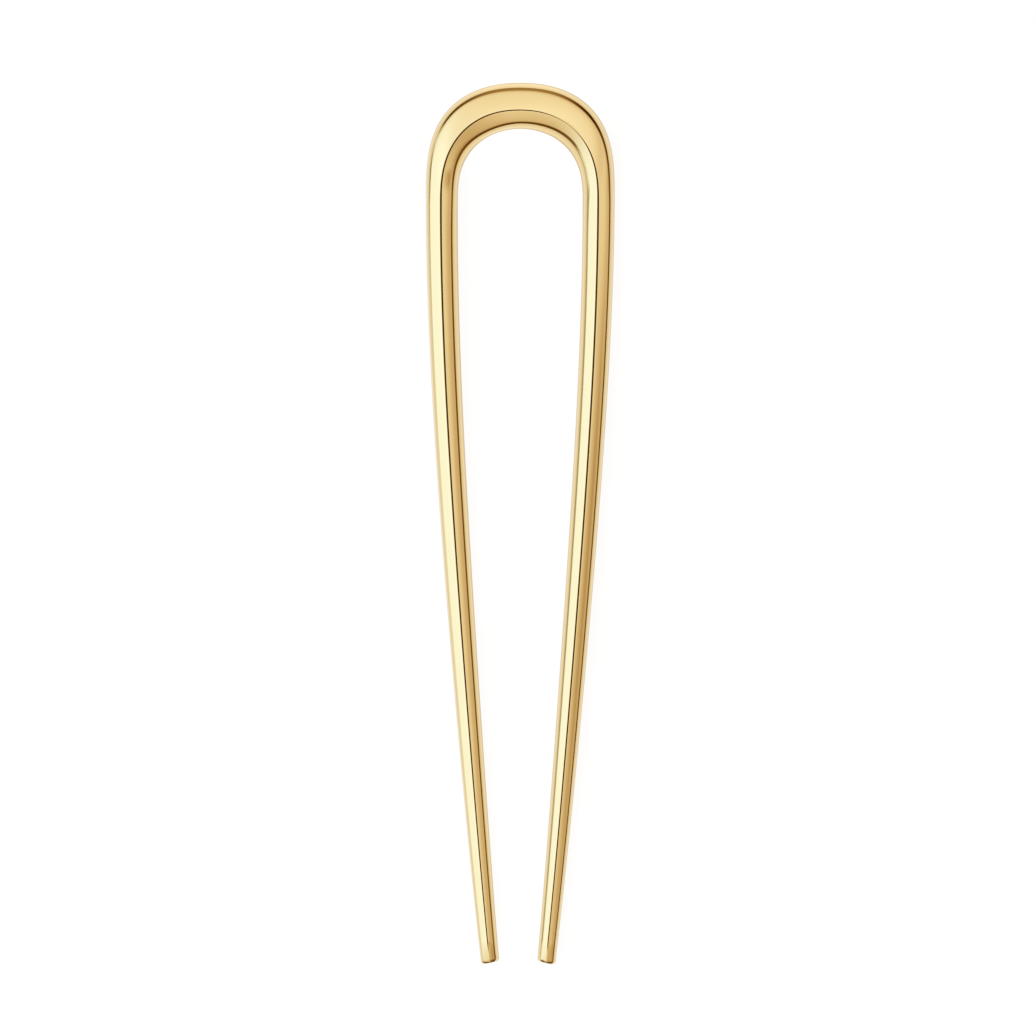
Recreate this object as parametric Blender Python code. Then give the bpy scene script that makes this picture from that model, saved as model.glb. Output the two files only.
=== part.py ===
# French hair pin: one polished metal bar bent into a long U, its flat back on Z = 0.
# Metres, +Z up. The crown points to +Y, the two tips to -Y, and X = 0 is the line of symmetry.
# The front carries a ridge all the way round, with a sloping facet on each side of it.

import math

import bmesh
import bpy
from mathutils import Vector

# Overall sizes
PIN_LENGTH = 0.1300
PIN_WIDTH = 0.0279

# Crown: the arch above the line where the pin is widest
CROWN_HEIGHT = 0.01735
CROWN_BAR = 0.00672
CROWN_RIDGE_INSET = 0.00416

# Legs
LEG_WIDTH = 0.00474
TIP_WIDTH = 0.00268
TIP_GAP = 0.0056

# Height of the ridge above the back
THICKNESS = 0.0034
TIP_THICKNESS = 0.0020

# Section: how far each facet stops short of the outline. The extra is added on the inside where
# the arch turns, over a stretch that a higher power makes shorter.
OUTER_FLANK_WIDTH = 0.00044
CROWN_OUTER_FLANK_WIDTH = 0.00075
INNER_FLANK_WIDTH = 0.00065
CORNER_EXTRA_FLANK_WIDTH = 0.00027
CORNER_POWER = 4

# Section: how deep the back's edges are cut, and how far the facets swell
BACK_EDGE = 0.00095
FACET_BULGE = 0.00007

# Section: lengths cut from both sides of a corner to round it
RIDGE_ROUND = 0.00024
SHOULDER_ROUND = 0.00036
SIDE_ROUND = 0.00050
BACK_ROUND = 0.00040
LARGEST_CUT_SHARE = 0.49

# Section: heights as shares of the local thickness
SHOULDER_HEIGHT = 0.74
SIDE_TOP_HEIGHT = 0.24
SIDE_BOTTOM_HEIGHT = 0.18

# Tip: how far from the end its rounding begins, and how much further than square it is cut
TIP_ROUNDING = 0.0010
TIP_SLANT = math.radians(5.5)
TIP_SLANT_REACH = 0.0045

# Tip: shares of the section's width and height lost at the end, and of its height that the back lifts
TIP_CORNER = 0.20
TIP_DROP = 0.25
TIP_LIFT = 0.16

# How square each line of the arch is: 2 and 2 make an ellipse
ARCH_ROWS = {
    "outer": {"across": 2.2, "up": 3.1},
    "ridge": {"across": 2.2, "up": 2.4},
    "inner": {"across": 1.9, "up": 2.6},
}

# Each leg from the widest line, 0, to its tip, 1. A row's shares stand before the first four powers
# of the way down, and add up to 1. Inward is how its middle moves in, and narrowing is how its
# width and thickness shrink.
LEG_ROWS = {
    "inward": (0.0, 2.25, -2.05, 0.80),
    "narrowing": (0.43, 0.44, 0.13, 0.0),
}

# Fineness of the mesh
CROWN_STEPS = 24
LEG_STEPS = 18
TIP_STEPS = 4
ROUND_STEPS = 3
SHARP_FROM = math.radians(40)

# Finish
GOLD = (0.92, 0.72, 0.40, 1.0)
GOLD_ROUGHNESS = 0.14


def clear_scene():
    for found in list(bpy.data.objects):
        bpy.data.objects.remove(found, do_unlink=True)


def polished_gold():
    gold = bpy.data.materials.new("polished_gold")
    gold.use_nodes = True
    shader = gold.node_tree.nodes["Principled BSDF"]
    shader.inputs["Base Color"].default_value = GOLD
    shader.inputs["Metallic"].default_value = 1.0
    shader.inputs["Roughness"].default_value = GOLD_ROUGHNESS
    gold.diffuse_color = GOLD
    return gold


def mix(start, end, share):
    return start + (end - start) * share


def leg_share(row, down):
    return sum(share * down ** (power + 1) for power, share in enumerate(LEG_ROWS[row]))


def leg_share_slope(row, down):
    return sum(share * (power + 1) * down ** power for power, share in enumerate(LEG_ROWS[row]))


def arch_point(line, half_width, height, angle):
    # One quarter of the arch, from the widest line at angle 0 to the top of the crown at 90 degrees.
    power = ARCH_ROWS[line]
    rise = math.sin(angle)
    across = max(1 - rise ** power["up"], 0) ** (1 / power["across"])
    return Vector((half_width * across, widest_line() + height * rise, 0))


def widest_line():
    return PIN_LENGTH / 2 - CROWN_HEIGHT


def leg_lean(down, length):
    # The angle between a leg's middle line and straight down.
    moved_in = (PIN_WIDTH - LEG_WIDTH - TIP_GAP - TIP_WIDTH) / 2
    return math.atan(leg_share_slope("inward", down) * moved_in / length)


def leg_length():
    # The end of the tip slants, so its outer corner reaches lower than its middle.
    middle_length = PIN_LENGTH - CROWN_HEIGHT
    end_half_width = TIP_WIDTH / 2 * (1 - TIP_CORNER)
    return middle_length - end_half_width * math.sin(leg_lean(1, middle_length) + TIP_SLANT)


def crown_station(angle):
    half = PIN_WIDTH / 2
    rise = math.sin(angle)
    corner = math.sin(2 * angle) ** CORNER_POWER
    return {
        "outer": arch_point("outer", half, CROWN_HEIGHT, angle),
        "ridge": arch_point("ridge", half - LEG_WIDTH / 2, CROWN_HEIGHT - CROWN_RIDGE_INSET, angle),
        "inner": arch_point("inner", half - LEG_WIDTH, CROWN_HEIGHT - CROWN_BAR, angle),
        "thickness": THICKNESS,
        "outer_flank": mix(OUTER_FLANK_WIDTH, CROWN_OUTER_FLANK_WIDTH, rise),
        "inner_flank": INNER_FLANK_WIDTH + CORNER_EXTRA_FLANK_WIDTH * corner,
    }


def leg_middle(down):
    top = (PIN_WIDTH - LEG_WIDTH) / 2
    tip = (TIP_GAP + TIP_WIDTH) / 2
    across = mix(top, tip, leg_share("inward", down))
    return Vector((across, widest_line() - leg_length() * down, 0))


def leg_station(down):
    # The section is square to the leg's middle line, but for the slanting end of the tip.
    length = leg_length()
    near_end = max(1 - (1 - down) * length / TIP_SLANT_REACH, 0)
    angle = leg_lean(down, length) + TIP_SLANT * near_end
    outward = Vector((math.cos(angle), -math.sin(angle), 0))
    narrowing = leg_share("narrowing", down)
    half = mix(LEG_WIDTH, TIP_WIDTH, narrowing) / 2
    thickness = mix(THICKNESS, TIP_THICKNESS, narrowing)
    middle = leg_middle(down)
    return {
        "outer": middle + outward * half,
        "ridge": middle,
        "inner": middle - outward * half,
        "thickness": thickness,
        "outer_flank": OUTER_FLANK_WIDTH * thickness / THICKNESS,
        "inner_flank": INNER_FLANK_WIDTH * thickness / THICKNESS,
    }


def tip_station(turn):
    # A quarter turn takes the tip from its full section to its end.
    rounded_off = 1 - math.cos(turn)
    station = leg_station(1 - TIP_ROUNDING / leg_length() * (1 - math.sin(turn)))
    station["across"] = 1 - TIP_CORNER * rounded_off
    station["top"] = 1 - TIP_DROP * rounded_off
    station["lift"] = TIP_LIFT * rounded_off ** 2
    return station


def half_pin_stations():
    # From the top of the crown, round the shoulder and down the leg on +X.
    quarter = math.radians(90)
    stations = []
    for step in range(CROWN_STEPS, 0, -1):
        stations.append(crown_station(quarter * step / CROWN_STEPS))
    rounding_starts = 1 - TIP_ROUNDING / leg_length()
    for step in range(LEG_STEPS):
        stations.append(leg_station(rounding_starts * step / LEG_STEPS))
    for step in range(TIP_STEPS + 1):
        stations.append(tip_station(quarter * step / TIP_STEPS))
    return stations


def rounded_corner(before, corner, after, cut, steps):
    # A smooth curve from one side of the corner to the other.
    towards_before = before - corner
    towards_after = after - corner
    cut_before = min(cut, towards_before.length * LARGEST_CUT_SHARE)
    cut_after = min(cut, towards_after.length * LARGEST_CUT_SHARE)
    start = corner + towards_before.normalized() * cut_before
    end = corner + towards_after.normalized() * cut_after
    points = []
    for step in range(steps + 1):
        t = step / steps
        points.append(start * (1 - t) ** 2 + corner * 2 * t * (1 - t) + end * t ** 2)
    return points


def section_side(reach, flank, thickness):
    # The corners from the facet to the back on one side, as distance from the ridge and height.
    scale = thickness / THICKNESS
    shoulder = Vector((reach - flank, thickness * SHOULDER_HEIGHT))
    facet_middle = Vector((shoulder.x / 2, (thickness + shoulder.y) / 2 + FACET_BULGE * scale))
    side_top = Vector((reach, thickness * SIDE_TOP_HEIGHT))
    side_bottom = Vector((reach, thickness * SIDE_BOTTOM_HEIGHT))
    foot = Vector((reach - BACK_EDGE * scale, 0))
    return (
        (facet_middle, reach, 2),
        (shoulder, SHOULDER_ROUND * scale, ROUND_STEPS),
        (side_top, SIDE_ROUND * scale, ROUND_STEPS),
        (side_bottom, SIDE_ROUND * scale, ROUND_STEPS),
        (foot, BACK_ROUND * scale, ROUND_STEPS),
    )


def section_outline(outer_reach, inner_reach, station):
    # The whole section, ridge first, then the outer side down to the back and up the inner side.
    thickness = station["thickness"]
    outer = section_side(outer_reach, station["outer_flank"], thickness)
    inner = section_side(inner_reach, station["inner_flank"], thickness)
    ridge = (Vector((0, thickness)), RIDGE_ROUND * thickness / THICKNESS, ROUND_STEPS + 1)
    corners = [ridge, *outer]
    for point, cut, steps in reversed(inner):
        corners.append((Vector((-point.x, point.y)), cut, steps))
    outline = []
    for index, (point, cut, steps) in enumerate(corners):
        before = corners[index - 1][0]
        after = corners[(index + 1) % len(corners)][0]
        outline.extend(rounded_corner(before, point, after, cut, steps))
    return outline


def station_ring(station):
    # The section's points in space, with the tip's rounding where the station has one.
    ridge = station["ridge"]
    to_outer = station["outer"] - ridge
    to_inner = station["inner"] - ridge
    lift = station["thickness"] * station.get("lift", 0)
    top = station["thickness"] * station.get("top", 1)
    ring = []
    for point in section_outline(to_outer.length, to_inner.length, station):
        side = to_outer if point.x > 0 else to_inner
        placed = ridge + side.normalized() * abs(point.x) * station.get("across", 1)
        placed.z = mix(lift, top, point.y / station["thickness"])
        ring.append(placed)
    return ring


def mirrored(ring):
    return [Vector((-point.x, point.y, point.z)) for point in ring]


def hair_pin(gold):
    half = [station_ring(station) for station in half_pin_stations()]
    rings = [mirrored(ring) for ring in reversed(half[1:])] + half
    pin = bmesh.new()
    loops = [[pin.verts.new(point) for point in ring] for ring in rings]
    count = len(loops[0])
    for near, far in zip(loops, loops[1:]):
        for index in range(count):
            following = (index + 1) % count
            pin.faces.new((near[index], near[following], far[following], far[index]))
    pin.faces.new(loops[0])
    pin.faces.new(reversed(loops[-1]))
    bmesh.ops.recalc_face_normals(pin, faces=pin.faces)
    mesh = bpy.data.meshes.new("hair_pin")
    pin.to_mesh(mesh)
    pin.free()
    mesh.shade_smooth()
    mesh.set_sharp_from_angle(angle=SHARP_FROM)
    mesh.materials.append(gold)
    body = bpy.data.objects.new("hair_pin", mesh)
    bpy.context.collection.objects.link(body)
    return body


def main():
    clear_scene()
    hair_pin(polished_gold())


main()
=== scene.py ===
# A gold french hair pin lying on its flat back on a pale table, in a pale tent of light.
# Metres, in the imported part's frame: the crown points to +Y, the tips to -Y, the ridge to +Z.
# Left and right are as the camera sees them, so left is -X and right is +X.

import math

import bpy
from mathutils import Matrix, Vector


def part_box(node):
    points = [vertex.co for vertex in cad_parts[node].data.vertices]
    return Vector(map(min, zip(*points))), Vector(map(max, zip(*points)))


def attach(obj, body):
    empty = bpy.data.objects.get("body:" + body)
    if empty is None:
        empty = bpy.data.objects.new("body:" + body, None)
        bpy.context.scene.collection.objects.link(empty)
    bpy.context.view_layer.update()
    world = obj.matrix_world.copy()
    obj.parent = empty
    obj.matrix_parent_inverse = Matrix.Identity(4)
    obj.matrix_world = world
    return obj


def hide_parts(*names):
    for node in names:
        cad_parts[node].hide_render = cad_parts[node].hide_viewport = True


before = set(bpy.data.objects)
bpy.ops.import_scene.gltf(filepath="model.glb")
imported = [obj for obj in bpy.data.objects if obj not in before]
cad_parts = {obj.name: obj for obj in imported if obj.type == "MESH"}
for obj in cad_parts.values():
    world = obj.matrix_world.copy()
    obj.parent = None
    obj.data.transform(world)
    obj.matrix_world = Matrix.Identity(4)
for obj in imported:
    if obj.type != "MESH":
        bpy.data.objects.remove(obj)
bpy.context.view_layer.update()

quarterTurn = math.radians(90)
halfTurn = math.radians(180)


class Wire:
    # A socket that a node gives out. Arithmetic on it adds Math nodes to its tree.

    def __init__(self, bench, socket):
        self.bench = bench
        self.socket = socket

    def output(self, name):  # another socket of the same node
        return Wire(self.bench, self.socket.node.outputs[name])

    def __add__(self, other):
        return self.bench.math("ADD", self, other)

    def __radd__(self, other):
        return self.bench.math("ADD", other, self)

    def __sub__(self, other):
        return self.bench.math("SUBTRACT", self, other)

    def __rsub__(self, other):
        return self.bench.math("SUBTRACT", other, self)

    def __mul__(self, other):
        return self.bench.math("MULTIPLY", self, other)

    def __rmul__(self, other):
        return self.bench.math("MULTIPLY", other, self)

    def __truediv__(self, other):
        return self.bench.math("DIVIDE", self, other)

    def __rtruediv__(self, other):
        return self.bench.math("DIVIDE", other, self)

    def __pow__(self, other):
        return self.bench.math("POWER", self, other)

    def __rpow__(self, other):
        return self.bench.math("POWER", other, self)

    def __neg__(self):
        return self * -1.0

    def __gt__(self, other):  # 1 where it is so, and 0 elsewhere
        return self.bench.math("GREATER_THAN", self, other)

    def __lt__(self, other):
        return self.bench.math("LESS_THAN", self, other)

    def sine(self):
        return self.bench.math("SINE", self)

    def cosine(self):
        return self.bench.math("COSINE", self)

    def arccosine(self):
        return self.bench.math("ARCCOSINE", self.atMost(1.0).atLeast(-1.0))

    def sign(self):
        return self.bench.math("SIGN", self)

    def absolute(self):
        return self.bench.math("ABSOLUTE", self)

    def floor(self):
        return self.bench.math("FLOOR", self)

    def modulo(self, other):
        return self.bench.math("MODULO", self, other)

    def atLeast(self, other):
        return self.bench.math("MAXIMUM", self, other)

    def atMost(self, other):
        return self.bench.math("MINIMUM", self, other)

    def share(self):  # kept between 0 and 1
        return self.atLeast(0.0).atMost(1.0)


class Bench:
    # Adds nodes to one tree.

    def __init__(self, tree):
        self.tree = tree

    def add(self, kind, settings=None, sockets=None, output=0):
        node = self.tree.nodes.new(kind)
        for name, value in (settings or {}).items():
            if name == "choices":
                while len(node.index_switch_items) < value:
                    node.index_switch_items.new()
            elif name == "stops":
                self.setStops(node.color_ramp, value)
            else:
                setattr(node, name, value)
        self.fill(node, sockets or {})
        if node.outputs:  # a tree's own output node has none
            return Wire(self, node.outputs[output])

    def fill(self, node, sockets):  # each socket gets a value or a wire
        for name, value in sockets.items():
            if isinstance(value, Wire):
                self.tree.links.new(value.socket, node.inputs[name])
            else:
                node.inputs[name].default_value = value

    def setStops(self, ramp, stops):  # each stop is its place and how light it is
        for stop in stops[1:-1]:
            ramp.elements.new(stop[0])
        for element, (place, light) in zip(ramp.elements, stops):
            element.position = place
            element.color = (light, light, light, 1.0)

    def math(self, operation, *values):
        return self.add("ShaderNodeMath", {"operation": operation}, dict(enumerate(values)))

    def pick(self, index, choices):  # the choice that stands at that index
        sockets = {"Index": index}
        for place, choice in enumerate(choices):
            sockets[place + 1] = choice
        settings = {"data_type": "FLOAT", "choices": len(choices)}
        return self.add("GeometryNodeIndexSwitch", settings, sockets)

    def vector(self, x, y, z):
        return self.add("ShaderNodeCombineXYZ", None, {0: x, 1: y, 2: z})

    def parts(self, vector):  # its x, y and z
        x = self.add("ShaderNodeSeparateXYZ", None, {0: vector})
        return x, x.output("Y"), x.output("Z")

    def colour(self, red, green, blue):
        return self.add("ShaderNodeCombineColor", None, {0: red, 1: green, 2: blue})

    def mixColours(self, share, none, full):  # by the numbers of the Mix node's colour sockets
        return self.add("ShaderNodeMix", {"data_type": "RGBA"}, {0: share, 6: none, 7: full}, 2)


def blend(start, end, share):
    return start + (end - start) * share


def wayBetween(value, start, end):  # 0 up to the start, 1 from the end on
    return ((value - start) / (end - start)).share()


def fourthPower(value):  # makes a wave narrower
    return value * value * value * value


def opaque(colour):
    return (*colour, 1.0)


# The pin's shape. Lengths are in metres, heights are shares of the thickness at each place.

pinLow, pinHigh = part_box("hair_pin")

pinShape = {
    "sizes": {  # what the pin's tree takes in
        "length": 2 * min(pinHigh.y, -pinLow.y),
        "width": pinHigh.x - pinLow.x,
        "thickness": 0.00337,
        "tip thickness": 0.0020,
        "crown height": 0.01735,  # from the widest line up to the top of the arch
        "crown bar": 0.00684,  # the arch's own width at its top
        "crown ridge inset": 0.00416,  # from the top of the arch down to the ridge
        "leg width": 0.00474,
        "tip width": 0.00268,
        "tip gap": 0.0056,
        "outer flank": 0.00040,  # how far each facet stops short of the outline
        "crown outer flank": 0.00075,
        "inner flank": 0.00061,
        "crown inner flank": 0.00057,
        "inner corner flank": 0.00027,  # added where the arch's inner line turns
        "corner twist": math.radians(10),  # that lies nearer the top on the right and the leg on the left
        "lopsided flank": 0.00015,  # the crown's inner flank is wider on the right and narrower on the left
        "lopsided by": 0.008,  # how far round from the crown's top that is full
        "lopsided until": 0.018,  # how far round it begins to fade
        "lopsided fade": 0.012,  # how far the fading takes
        "thinner ridge": 0.7,  # the share of the ridge's rounding lost where the crown turns on the right
        "thinner ridge twist": math.radians(22),  # that lies nearer the top
        "back edge": 0.00095,
        "facet bulge": 0.00007,
        "ridge round": 0.00031,  # lengths cut from both sides of a corner
        "crown ridge round": 0.00013,
        "outer shoulder round": 0.00046,
        "crown outer shoulder round": 0.00072,
        "inner shoulder round": 0.00041,
        "crown inner shoulder round": 0.00086,
        "side round": 0.00050,
        "back round": 0.00040,
        "shoulder height": 0.74,
        "side top height": 0.24,
        "side bottom height": 0.18,
        "tip fall reach": 0.0030,  # how far from the end the top begins to fall
        "tip fall": 0.24,  # the share of the thickness lost by that
        "tip rounding": 0.00045,  # how far from the end its rounding begins
        "tip corner": 0.30,  # the share of the half width that it takes
        "tip bevel": 0.035,  # shares of the thickness that it takes off the top, gently and then sharply
        "tip edge": 0.018,
        "tip lift": 0.16,  # the share that the back rises
        "tip slant": math.radians(5.5),  # how much further than square the end is cut
        "tip slant reach": 0.0045,
    },
    "arch": {  # how square each line of the arch is: 2 and 2 make an ellipse
        "outer": {"across": 2.2, "up": 3.1},
        "ridge": {"across": 2.2, "up": 2.4},
        "inner": {"across": 2.0, "up": 2.6},
    },
    "inward": (2.25, -2.05, 0.80),  # how the legs lean in, as shares times the square of the way down
    "narrowing": (0.43, 0.44, 0.13),  # how they narrow, as shares times the way down
    "tip lean": math.radians(5.9),  # about how far they lean in at the end
    "tip fall power": 1.5,  # a higher power begins later and ends sharper
    "tip bevel power": 1.5,
    "tip edge power": 8.0,
    "crown arc": 0.024,  # about how far it is round the crown, from its top to the widest line
    "steps": {"crown": 96, "leg": 150, "tip": 16, "cap": 5},  # stations on each stretch of half the pin
    "leg crowding": 1.5,  # above 1, the leg's stations stand closer towards the tip
    "corners": 11,  # of a section: the ridge and five on each side
    "points per corner": 9,
    "cap middle": 0.44,  # the height at which the end's cap closes
    "merge distance": 1e-7,  # joins the points that lie on each other
}


def archPoint(size, line, halfWidth, height, rise):
    # A point on one quarter of the arch, from the widest line, rise 0, to its top, rise 1.
    power = pinShape["arch"][line]
    across = (1 - rise ** power["up"]).atLeast(0.0) ** (1 / power["across"])
    return halfWidth * across, size["length"] / 2 - size["crown height"] + height * rise


def crownLines(size, rise):
    half = size["width"] / 2
    outer = archPoint(size, "outer", half, size["crown height"], rise)
    ridgeHeight = size["crown height"] - size["crown ridge inset"]
    ridge = archPoint(size, "ridge", half - size["leg width"] / 2, ridgeHeight, rise)
    innerHeight = size["crown height"] - size["crown bar"]
    inner = archPoint(size, "inner", half - size["leg width"], innerHeight, rise)
    return outer, ridge, inner


def polynomial(shares, way):  # each share stands before the next power of the way, from power 0
    total = shares[-1]
    for share in reversed(shares[:-1]):
        total = way * total + share
    return total


def nearEnd(station, reach):  # 0 until so far from the tip's end, 1 at the end
    return (1 - station["to end"] / reach).share()


def legLines(size, station):
    # The same three lines on a leg, cut square to its middle line but for the slanting end.
    down, length = station["down"], station["leg length"]
    moved = (size["width"] - size["leg width"] - size["tip gap"] - size["tip width"]) / 2
    movedIn = moved * down * down * polynomial(pinShape["inward"], down)
    middleX = (size["width"] - size["leg width"]) / 2 - movedIn
    middleY = size["length"] / 2 - size["crown height"] - length * down
    slopes = [(place + 2) * share for place, share in enumerate(pinShape["inward"])]
    lean = moved * down * polynomial(slopes, down) / length  # the slope of how far it has moved in
    slant = lean + size["tip slant"] * nearEnd(station, size["tip slant reach"])
    narrowing = down * polynomial(pinShape["narrowing"], down)
    half = blend(size["leg width"], size["tip width"], narrowing) / 2
    stepX, stepY = half * slant.cosine(), -half * slant.sine()
    outer = (middleX + stepX, middleY + stepY)
    inner = (middleX - stepX, middleY - stepY)
    return outer, (middleX, middleY), inner, narrowing


def pinLines(size, station):
    # The outer, ridge and inner lines at each station, and how far the pin has narrowed there.
    crown = crownLines(size, station["rise"])
    *leg, narrowing = legLines(size, station)
    onLeg = station["on leg"]
    lines = []
    for crownLine, legLine in zip(crown, leg):
        lines.append([blend(crownLine[axis], legLine[axis], onLeg) for axis in range(2)])
    return lines, narrowing * onLeg


def tipReach(size):
    # How much lower than the leg's middle line the slanting, rounded end reaches.
    angle = pinShape["tip lean"] + size["tip slant"]
    half = size["tip width"] / 2
    along = size["tip rounding"] * angle.cosine()
    corner = half * size["tip corner"] * angle.sine()
    flat = half * (1 - size["tip corner"]) * angle.sine()
    return flat + (along * along + corner * corner) ** 0.5 - along


def stationAt(size, signedStep):
    # What a station is, by its steps from the top of the crown, below 0 on the left.
    step = signedStep.absolute()
    passed = {}
    start = 0
    for stretch, count in pinShape["steps"].items():
        passed[stretch] = wayBetween(step, start, start + count)
        start += count
    angle = (1 - passed["crown"]) * quarterTurn
    tipTurn = passed["tip"] * quarterTurn
    length = size["length"] - size["crown height"] - tipReach(size)
    rounding = size["tip rounding"] / length
    legWay = 1 - (1 - passed["leg"]) ** pinShape["leg crowding"]
    down = (1 - rounding) * legWay + rounding * tipTurn.sine()
    return {
        "side": signedStep.sign(),
        "on leg": step > pinShape["steps"]["crown"],
        "angle": angle,  # round the arch, up from the widest line
        "rise": angle.sine(),
        "down": down,  # the share of the way down the leg
        "leg length": length,
        "to end": (1 - down) * length,
        "arc": passed["crown"] * pinShape["crown arc"] + down * length,  # round from the crown's top
        "tip turn": tipTurn,  # a quarter turn takes the tip from its full section to its end
        "cap way": passed["cap"],
    }


def facetFlanks(size, station):
    # How far the outer and the inner facet stop short of the outline.
    rise, side, arc = station["rise"], station["side"], station["arc"]
    turn = fourthPower((2 * station["angle"] - side * size["corner twist"]).sine())
    begun = (arc / size["lopsided by"]).share() * quarterTurn
    ended = ((arc - size["lopsided until"]) / size["lopsided fade"]).share() * halfTurn
    lopsided = side * begun.sine() * (1 + ended.cosine()) / 2
    outer = blend(size["outer flank"], size["crown outer flank"], rise) * station["scale"]
    inner = blend(size["inner flank"], size["crown inner flank"], rise) * station["scale"]
    inner = inner + size["inner corner flank"] * turn + size["lopsided flank"] * lopsided
    return outer, inner


def ridgeRounding(size, station):
    # The ridge is crisper round the crown, and most of all where the crown turns on the right.
    turn = (2 * station["angle"] - size["thinner ridge twist"]).sine() * (station["side"] > 0.0)
    rounding = blend(size["ridge round"], size["crown ridge round"], station["rise"])
    return rounding * (1 - size["thinner ridge"] * fourthPower(turn))


def sideCorners(size, station, reach, flank, shoulderRound):
    # From the facet's middle to the back on one side: distance from the ridge, height, rounding.
    thickness, scale = station["thickness"], station["scale"]
    shoulderX = reach - flank
    shoulderZ = thickness * size["shoulder height"]
    middleZ = (thickness + shoulderZ) / 2 + size["facet bulge"] * scale
    return [
        (shoulderX / 2, middleZ, reach),
        (shoulderX, shoulderZ, shoulderRound * scale),
        (reach, thickness * size["side top height"], size["side round"] * scale),
        (reach, thickness * size["side bottom height"], size["side round"] * scale),
        (reach - size["back edge"] * scale, 0.0, size["back round"] * scale),
    ]


def sectionCorners(size, station, outerReach, innerReach):
    # All round: the ridge, down the outer side to the back, and up the inner side.
    rise = station["rise"]
    outerFlank, innerFlank = facetFlanks(size, station)
    outerRound = blend(size["outer shoulder round"], size["crown outer shoulder round"], rise)
    innerRound = blend(size["inner shoulder round"], size["crown inner shoulder round"], rise)
    outerSide = sideCorners(size, station, outerReach, outerFlank, outerRound)
    innerSide = sideCorners(size, station, innerReach, innerFlank, innerRound)
    ridge = (0.0, station["thickness"], ridgeRounding(size, station) * station["scale"])
    return [ridge, *outerSide, *[(-x, z, cut) for x, z, cut in reversed(innerSide)]]


def runBetween(start, end):  # along each of the two axes, and straight
    first, second = end[0] - start[0], end[1] - start[1]
    return first, second, (first * first + second * second) ** 0.5


def roundedSection(bench, corners, corner, way):
    # The point at a share of the way round one rounded corner of the section.
    count = len(corners)
    found = []
    for shift in (count - 1, 0, 1):
        index = (corner + shift).modulo(count)
        found.append([bench.pick(index, [row[column] for row in corners]) for column in range(3)])
    before, here, after = found
    ends = []
    for neighbour in (before, after):
        runX, runZ, run = runBetween(here, neighbour)
        room = run - neighbour[2].atMost(run / 2)
        cut = here[2].atMost(room) / run
        ends.append((here[0] + runX * cut, here[1] + runZ * cut))
    back = 1 - way
    weights = (back * back, 2 * back * way, way * way)
    points = (ends[0], here, ends[1])
    x = sum(weight * point[0] for weight, point in zip(weights, points))
    z = sum(weight * point[1] for weight, point in zip(weights, points))
    return x, z


def shapedTip(size, station, x, z):
    # The distance from the ridge and the height, once the tip is rounded and its end is closed.
    thickness = station["thickness"]
    roundWay = station["tip turn"].sine()
    roundedOff = 1 - station["tip turn"].cosine()
    fall = size["tip fall"] * nearEnd(station, size["tip fall reach"]) ** pinShape["tip fall power"]
    bevel = size["tip bevel"] * roundWay ** pinShape["tip bevel power"]
    drop = bevel + size["tip edge"] * roundWay ** pinShape["tip edge power"]
    top = thickness * (1 - fall - drop)
    lift = thickness * size["tip lift"] * roundedOff * roundedOff
    z = lift + (top - lift) * z / thickness
    middleZ = thickness * pinShape["cap middle"]
    shrink = 1 - station["cap way"]
    z = middleZ + (z - middleZ) * shrink
    across = 1 - size["tip corner"] * roundedOff
    return x.absolute() * across * shrink, z


def wholeTimes(number, count):
    # How many times a count goes into a whole number. The half guards against rounding errors.
    return ((number + 0.5) / count).floor()


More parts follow.
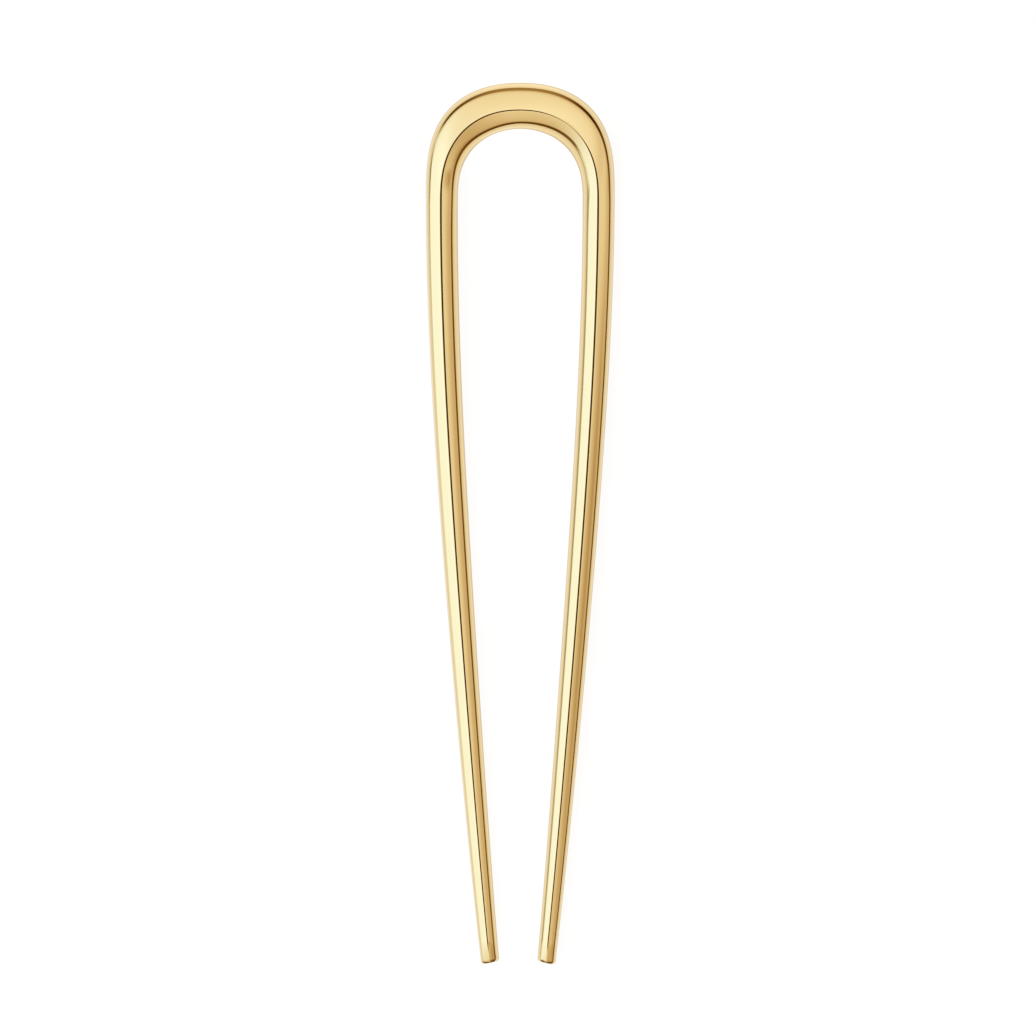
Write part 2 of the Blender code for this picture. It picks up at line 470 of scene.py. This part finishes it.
def pinTree(material):
    tree = bpy.data.node_groups.new("hair pin shape", "GeometryNodeTree")
    for end in ("INPUT", "OUTPUT"):
        tree.interface.new_socket("Geometry", in_out=end, socket_type="NodeSocketGeometry")
    for name in pinShape["sizes"]:
        tree.interface.new_socket(name, in_out="INPUT", socket_type="NodeSocketFloat")
    bench = Bench(tree)
    given = bench.add("NodeGroupInput")
    size = {name: given.output(name) for name in pinShape["sizes"]}

    # A row of the grid is a station along the pin, and its points go round the section
    perCorner = pinShape["points per corner"]
    around = pinShape["corners"] * perCorner
    rowLength = around + 1  # the last point lies on the first
    index = bench.add("GeometryNodeInputIndex")
    row = wholeTimes(index, rowLength)
    place = (index - row * rowLength).modulo(around)
    corner = wholeTimes(place, perCorner)
    way = (place - corner * perCorner) / (perCorner - 1)
    halfSteps = sum(pinShape["steps"].values())
    station = stationAt(size, row - halfSteps)

    # The lines that the section hangs on, and the section
    (outer, ridge, inner), narrowed = pinLines(size, station)
    station["thickness"] = blend(size["thickness"], size["tip thickness"], narrowed)
    station["scale"] = station["thickness"] / size["thickness"]
    toOuterX, toOuterY, outerReach = runBetween(ridge, outer)
    toInnerX, toInnerY, innerReach = runBetween(ridge, inner)
    corners = sectionCorners(size, station, outerReach, innerReach)
    x, z = roundedSection(bench, corners, corner, way)
    heightShare = z / station["thickness"]
    reach, z = shapedTip(size, station, x, z)

    # Where the point goes
    onOuter = x > 0.0
    directionX = blend(toInnerX / innerReach, toOuterX / outerReach, onOuter)
    directionY = blend(toInnerY / innerReach, toOuterY / outerReach, onOuter)
    side = station["side"]
    point = bench.vector(side * (ridge[0] + directionX * reach), ridge[1] + directionY * reach, z)
    pinMap = bench.vector(x, side * station["arc"], z)

    sockets = {"Vertices X": 2 * halfSteps + 1, "Vertices Y": rowLength}
    grid = bench.add("GeometryNodeMeshGrid", None, sockets)
    sockets = {"Geometry": grid, "Name": "pinMap", "Value": pinMap}
    mapped = bench.add("GeometryNodeStoreNamedAttribute", {"data_type": "FLOAT_VECTOR"}, sockets)
    sockets = {"Geometry": mapped, "Name": "heightShare", "Value": heightShare}
    measured = bench.add("GeometryNodeStoreNamedAttribute", {"data_type": "FLOAT"}, sockets)
    shaped = bench.add("GeometryNodeSetPosition", None, {"Geometry": measured, "Position": point})
    sockets = {"Geometry": shaped, "Distance": pinShape["merge distance"]}
    closed = bench.add("GeometryNodeMergeByDistance", None, sockets)
    smooth = bench.add("GeometryNodeSetShadeSmooth", None, {"Geometry": closed})
    real = bench.add("GeometryNodeRealizeInstances", None, {"Geometry": smooth})
    finished = bench.add("GeometryNodeSetMaterial", None, {"Geometry": real, "Material": material})
    bench.add("NodeGroupOutput", None, {"Geometry": finished})
    return tree


def makePin(material):
    holder = bpy.data.objects.new("pinHolder", bpy.data.meshes.new("pinHolder"))
    bpy.context.collection.objects.link(holder)
    tree = pinTree(material)
    modifier = holder.modifiers.new("hair pin shape", "NODES")
    modifier.node_group = tree
    for item in tree.interface.items_tree:
        if item.in_out == "INPUT" and item.name in pinShape["sizes"]:
            modifier[item.identifier] = pinShape["sizes"][item.name]
    depsgraph = bpy.context.evaluated_depsgraph_get()
    mesh = bpy.data.meshes.new_from_object(holder.evaluated_get(depsgraph))
    bpy.data.objects.remove(holder)
    mesh.name = "hairPin"
    pin = bpy.data.objects.new("hairPin", mesh)
    bpy.context.collection.objects.link(pin)
    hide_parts("hair_pin")
    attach(pin, "root")


# The gold, with painted shade low on the sides and just below the shoulders. Heights are shares of the
# pin's thickness.

goldLook = {
    "gold": (0.84, 0.665, 0.342),
    "redder gold": (0.83, 0.65, 0.328),
    "roughness": 0.07,
    "smudges": 0.03,  # how much rougher these two make it
    "streaks": 0.02,
    "smudge scale": 140.0,
    "smudge detail": 4.0,
    "streak scale": (2500, 60, 2500),  # the middle one runs along the pin
    "streak detail": 3.0,
    "waviness": 4e-7,  # metres
    "painted low shade": (0.60, 0.44, 0.24),  # painted shade low on the sides, standing in for the shadowed table seen in them
    "painted low shade ends": (0.29, 0.42),  # the heights between which it fades out
    "painted shoulder shade": (0.74, 0.555, 0.255),  # painted shade just below the shoulders
    "shoulder shade begins": (0.46, 0.70),  # the heights where it is none and full
    "shoulder shade ends": (0.76, 0.73),
}


def polishedGold():
    material = bpy.data.materials.new("polishedGold")
    material.use_nodes = True
    bench = Bench(material.node_tree)
    place = bench.add("ShaderNodeAttribute", {"attribute_name": "pinMap"}, None, "Vector")
    sockets = {"Vector": place, "Scale": goldLook["streak scale"]}
    stretched = bench.add("ShaderNodeMapping", None, sockets)
    sockets = {"Vector": stretched, "Scale": 1.0, "Detail": goldLook["streak detail"]}
    streak = bench.add("ShaderNodeTexNoise", None, sockets, "Fac")
    sockets = {"Vector": place, "Scale": goldLook["smudge scale"], "Detail": goldLook["smudge detail"]}
    smudge = bench.add("ShaderNodeTexNoise", None, sockets, "Fac")
    height = bench.add("ShaderNodeAttribute", {"attribute_name": "heightShare"}, None, "Fac")
    # Painted shade: a darker gold just below the shoulders
    shoulderShade = wayBetween(height, *goldLook["shoulder shade begins"]) * wayBetween(height, *goldLook["shoulder shade ends"])
    # Painted shade: the gold darkens low on the sides
    aboveLowShade = wayBetween(height, *goldLook["painted low shade ends"])
    colour = bench.mixColours(smudge, opaque(goldLook["gold"]), opaque(goldLook["redder gold"]))
    colour = bench.mixColours(shoulderShade, colour, opaque(goldLook["painted shoulder shade"]))
    colour = bench.mixColours(aboveLowShade, opaque(goldLook["painted low shade"]), colour)
    roughness = goldLook["roughness"] + goldLook["smudges"] * smudge + goldLook["streaks"] * streak
    bump = bench.add("ShaderNodeBump", None, {"Height": streak, "Distance": goldLook["waviness"]})
    sockets = {"Base Color": colour, "Metallic": 1.0, "Roughness": roughness, "Normal": bump}
    bench.fill(material.node_tree.nodes["Principled BSDF"], sockets)
    return material


# The table, in metres

tableLook = {
    "width": 3.0,
    "depth": 2e-5,  # how far below the pin's back it lies
    "colour": (0.22, 0.228, 0.24),
    "glow": 0.885,
    "crown glow": 0.14,  # added beyond the crown
    "crown places": (0.050, 0.066),  # it begins and is full at these places along the pin
    "crown sides": (0.014, 0.004),  # and begins and is full at these distances from the middle
}


def makeTable():
    reach = tableLook["width"] / 2
    corners = ((-reach, -reach), (reach, -reach), (reach, reach), (-reach, reach))
    mesh = bpy.data.meshes.new("table")
    mesh.from_pydata([(x, y, -tableLook["depth"]) for x, y in corners], [], [(0, 1, 2, 3)])
    material = bpy.data.materials.new("paleTable")
    material.use_nodes = True
    bench = Bench(material.node_tree)
    x, y = bench.parts(bench.add("ShaderNodeTexCoord", None, None, "Object"))[:2]
    along = wayBetween(y, *tableLook["crown places"])
    crown = along * wayBetween(x.absolute(), *tableLook["crown sides"])
    glow = tableLook["glow"] + tableLook["crown glow"] * crown
    sockets = {
        "Base Color": opaque(tableLook["colour"]),
        "Roughness": 1.0,
        "Specular IOR Level": 0.0,
        "Emission Color": bench.colour(glow, glow, glow),
        "Emission Strength": 1.0,
    }
    bench.fill(material.node_tree.nodes["Principled BSDF"], sockets)
    mesh.materials.append(material)
    table = bpy.data.objects.new("table", mesh)
    bpy.context.collection.objects.link(table)


# The studio is a tent of light round the pin. Angles are degrees from straight overhead, and a
# side's ramp gives how light it is at each angle. Up is the way that the crown points.

studioLook = {
    "horizon": 90,
    "left": (
        (0, 0.05), (18, 0.06), (25, 1.0), (31, 1.08), (36, 1.24), (42, 1.2), (48, 1.14), (90, 1.14),
    ),
    "right": (
        (0, 0.05), (18, 0.06), (25, 0.97), (30, 0.93), (33, 0.88), (36, 0.84), (43, 0.88), (46, 0.84),
        (49, 0.73), (52, 0.65), (55, 0.64), (58, 0.66), (60, 0.7), (63, 0.62), (90, 0.5),
    ),
    "right strip": (
        (0, 0.05), (18, 0.06), (25, 0.97), (30, 0.93), (33, 0.89), (37, 0.86), (40, 0.75), (43, 0.65),
        (46, 0.51), (48, 0.48), (49.5, 0.56), (51, 0.66), (56, 0.66), (60, 0.7), (63, 0.62), (90, 0.5),
    ),
    "up": (
        (0, 0.05), (18, 0.06), (24, 1.08), (28, 0.96), (31, 0.93), (36, 0.87), (45, 0.72), (50, 0.45),
        (57, 0.32), (90, 0.3),
    ),
    "down": (
        (0, 0.05), (18, 0.06), (24, 0.98), (41, 0.765), (47, 0.7), (50, 0.66), (57, 0.61), (90, 0.6),
    ),
    "strip place": 0.1,  # how far below due right the strip lies
    "strip fades": (0.04, 0.11),  # how far from its place it begins and ends to fade
    "left power": 3.0,  # a higher power keeps the left side's light further to the left
    "lower right": 0.75,  # the share of the light left in the corner below and to the right
    "dimming": {  # from one angle to another, and the share of the light lost by then
        "upper right": (30, 38, 0.14),
        "lower right": (49, 57, 0.2),
    },
    "skirt": ((0, 0.0), (59.5, 0.0), (63.5, 1.0), (90, 1.0)),  # where the dark band at the foot lies
    "skirt rise": {  # how many degrees higher it reaches
        "upper right": 11,
        "upper left": 6,
        "up": 5,
        "left": -5,
        "down": 2,
        "lower right": 2,
    },
    "skirt levels": {"left": 0.2, "right": 0.16, "up": 0.38, "down": 0.125},  # how light it is
    "skirt corners": {"upper right": 0.23, "upper left": 0.4},  # the share of its light left there
    "opening": (0.83, 0.945),  # the skirt lightens between these shares of the way to the left
    "opening levels": ((0.6, -3.8), (0.0, 2.4)),  # to the lighter of two, each changing towards the crown
    "opening limits": (0.28, 0.88),
    "green": (1.43, 1.12),  # powers that make the dimmer parts warmer, but less so on the left
    "blue": (2.2, 1.5),
    "left tint": (0.91, 1.055, 1.30),
    "strength": 1.15,
    "backdrop": (0.9, 0.9, 0.9),  # what the camera sees past the table
    "smallest": 0.001,  # stands in for nothing where something is divided by it
}


def studioRamp(bench, name, fromTop):
    stops = [(angle / studioLook["horizon"], light) for angle, light in studioLook[name]]
    return bench.add("ShaderNodeValToRGB", {"stops": stops}, {0: fromTop})


def tentPlaces(x, y, flat):
    # How far a direction lies into each side and three of the corners of the tent, from 0 to 1.
    ways = {
        "left": (-x / flat).atLeast(0.0),
        "right": (x / flat).atLeast(0.0),
        "up": (y / flat).atLeast(0.0),
        "down": (-y / flat).atLeast(0.0),
    }
    places = {name: way * way for name, way in ways.items()}
    product = 2 * x * y / (flat * flat)
    places["lower right"] = (-product).atLeast(0.0) * (x > 0.0)
    places["upper right"] = product.atLeast(0.0) * (x > 0.0)
    places["upper left"] = (-product).atLeast(0.0) * (y > 0.0)
    return places, ways["left"]


def tentLight(bench, fromTop, towardsCrown, places, leftShare):
    others = ("right", "up", "down")
    ramps = {name: studioRamp(bench, name, fromTop) for name in others}
    fromStrip = (towardsCrown + studioLook["strip place"]).absolute()
    faded = wayBetween(fromStrip, *studioLook["strip fades"])
    ramps["right"] = blend(studioRamp(bench, "right strip", fromTop), ramps["right"], faded)
    rest = sum(ramps[name] * places[name] for name in others)
    rest = rest / sum(places[name] for name in others).atLeast(studioLook["smallest"])
    light = blend(rest, studioRamp(bench, "left", fromTop), leftShare)
    light = light * (1 - (1 - studioLook["lower right"]) * places["lower right"])
    for name, (start, end, lost) in studioLook["dimming"].items():
        dimmed = wayBetween(fromTop, start / studioLook["horizon"], end / studioLook["horizon"])
        light = light * (1 - lost * places[name] * dimmed)
    return light


def skirtLight(y, flat, places, leftWay):
    level = sum(light * places[name] for name, light in studioLook["skirt levels"].items())
    for name, left in studioLook["skirt corners"].items():
        level = level * (1 - (1 - left) * places[name] * places[name] * places[name])
    first, second = [base + change * y / flat for base, change in studioLook["opening levels"]]
    least, most = studioLook["opening limits"]
    opened = first.atLeast(second).atLeast(least).atMost(most)
    return blend(level, opened, wayBetween(leftWay, *studioLook["opening"]))


def tinted(bench, light, leftShare):
    tint = [1 + (share - 1) * leftShare for share in studioLook["left tint"]]
    red = light * tint[0]
    green = light ** blend(*studioLook["green"], leftShare) * tint[1]
    blue = light ** blend(*studioLook["blue"], leftShare) * tint[2]
    return bench.colour(red, green, blue)


def makeStudio():
    world = bpy.data.worlds.new("studio")
    bpy.context.scene.world = world
    world.use_nodes = True
    bench = Bench(world.node_tree)
    x, y, z = bench.parts(bench.add("ShaderNodeTexCoord", None, None, "Generated"))
    fromTop = z.arccosine() / quarterTurn
    flat = ((x * x + y * y) ** 0.5).atLeast(studioLook["smallest"])
    places, leftWay = tentPlaces(x, y, flat)
    leftShare = leftWay ** studioLook["left power"]
    light = tentLight(bench, fromTop, y / flat, places, leftShare)
    rises = studioLook["skirt rise"].items()
    raised = sum(degrees / studioLook["horizon"] * places[name] for name, degrees in rises)
    skirt = studioRamp(bench, "skirt", fromTop + raised)
    light = blend(light, skirtLight(y, flat, places, leftWay), skirt)
    seen = bench.add("ShaderNodeLightPath", None, None, "Is Camera Ray")
    shown = bench.mixColours(seen, tinted(bench, light, leftShare), opaque(studioLook["backdrop"]))
    sockets = {"Color": shown, "Strength": studioLook["strength"]}
    bench.fill(world.node_tree.nodes["Background"], sockets)


# The camera looks down on the pin from far off, a little to the right of square

cameraView = {
    "frame": 0.15275,  # metres across the picture at the pin
    "centre": (-0.00017, 0.00079, 0.00125),  # metres
    "distance": 1.6,
    "lean": 2.8,  # degrees to the right
    "roll": 0.158,  # degrees
    "sensor": 36.0,  # millimetres
    "clip": (0.01, 10.0),
}


def makeCamera():
    data = bpy.data.cameras.new("camera")
    data.sensor_width = cameraView["sensor"]
    data.lens = cameraView["sensor"] * cameraView["distance"] / cameraView["frame"]
    data.clip_start, data.clip_end = cameraView["clip"]
    camera = bpy.data.objects.new("camera", data)
    bpy.context.collection.objects.link(camera)
    lean = math.radians(cameraView["lean"])
    roll = math.radians(cameraView["roll"])
    back = Vector((math.sin(lean), 0, math.cos(lean)))
    turn = Matrix.Rotation(lean, 4, "Y") @ Matrix.Rotation(roll, 4, "Z")
    place = Vector(cameraView["centre"]) + back * cameraView["distance"]
    camera.matrix_world = Matrix.Translation(place) @ turn
    bpy.context.scene.camera = camera


makeCamera()
print("camera is set")
makeStudio()
print("studio is lit")
makeTable()
print("table is made")
makePin(polishedGold())
print("pin is made")

bpy.context.scene.view_settings.view_transform = "Standard"
